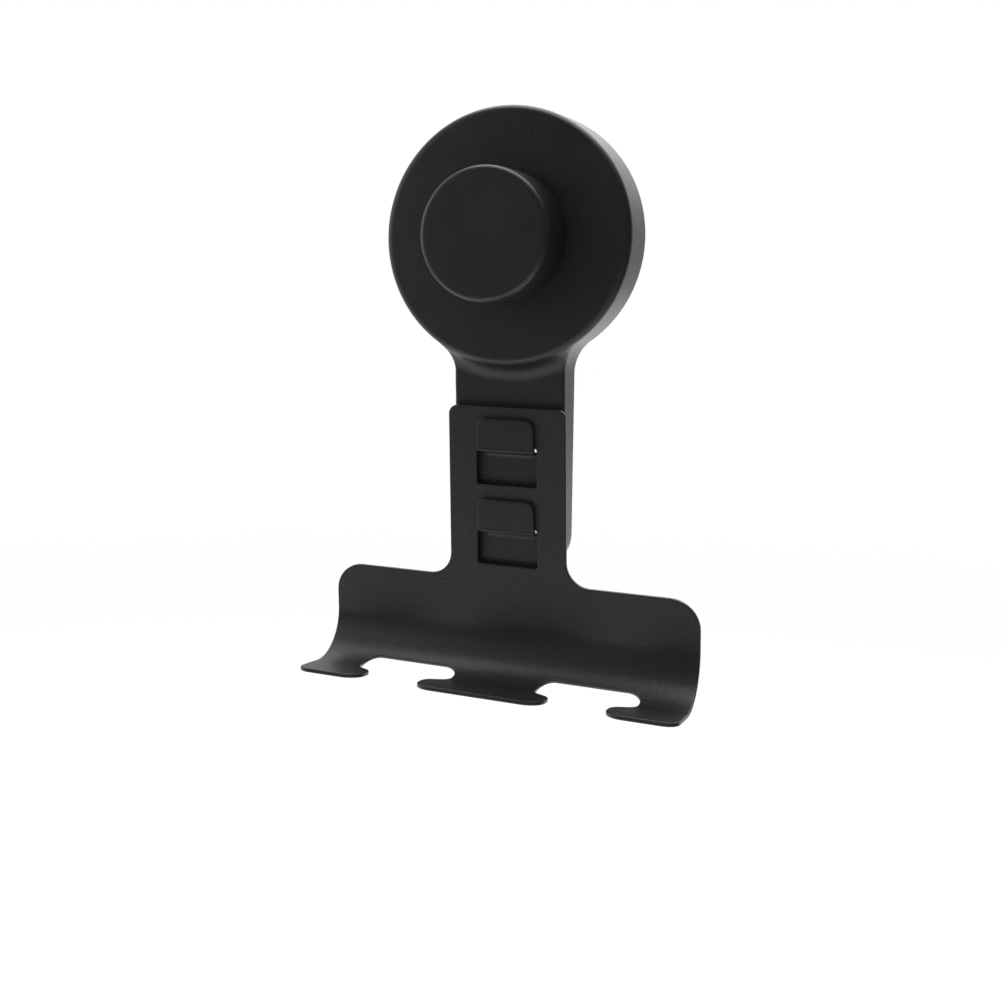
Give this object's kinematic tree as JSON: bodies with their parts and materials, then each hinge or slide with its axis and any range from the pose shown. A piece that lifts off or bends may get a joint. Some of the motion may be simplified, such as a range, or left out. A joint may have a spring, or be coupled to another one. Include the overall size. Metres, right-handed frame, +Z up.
{
  "type": "suction razor holder",
  "caption": "Wall holder: a knob draws a suction pad taut in a round housing, and a folded steel plate with keyhole slots lifts off hooks on its arm.",
  "frame": {"origin": "centre of the suction pad's wall face, on the knob's axis", "axes": "+Y into the wall, -Y out of the wall towards the viewer, +Z up, +X to the viewer's right"},
  "size_m": [0.1156, 0.0376, 0.1696],
  "materials": {
    "black_shell": "moulded black plastic with a fine satin grain",
    "black_coat": "black powder coat on sheet steel, fine and matte",
    "soft_pad": "soft smooth suction elastomer",
    "rubber": "matte black rubber",
    "nylon": "natural nylon",
    "steel": "stainless steel, turned",
    "brass": "plain brass, turned"
  },
  "bodies": {
    "base": {"housing": "black_shell", "suction_pad": "soft_pad", "thrust_washer": "nylon", "wall_bumper": "rubber"},
    "puller": {"pull_plate": "nylon", "pull_stud": "steel", "stop_washer": "steel", "stop_screw": "steel"},
    "knob": {"knob_cap": "black_shell", "knob_hub": "black_shell", "knob_nut": "brass"},
    "plate": {"slotted_plate": "black_coat"}
  },
  "joints": [
    {"name": "knob_turn", "type": "hinge", "parent": "base", "child": "knob", "pos_m": [0, -0.03, 0], "axis": [0, 1, 0], "range_deg": [0, 540]},
    {"name": "pad_pull", "type": "slide", "parent": "base", "child": "puller", "axis": [0, -1, 0], "range_m": [0, 0.00305], "deforming": ["suction_pad"]},
    {"name": "plate_lift", "type": "slide", "parent": "base", "child": "plate", "axis": [0, -0.0645, 0.9979], "range_m": [0, 0.009]}
  ],
  "couplings": [
    {"joint": "pad_pull", "follows": "knob_turn", "m_per_rad": 0.00031831}
  ]
}
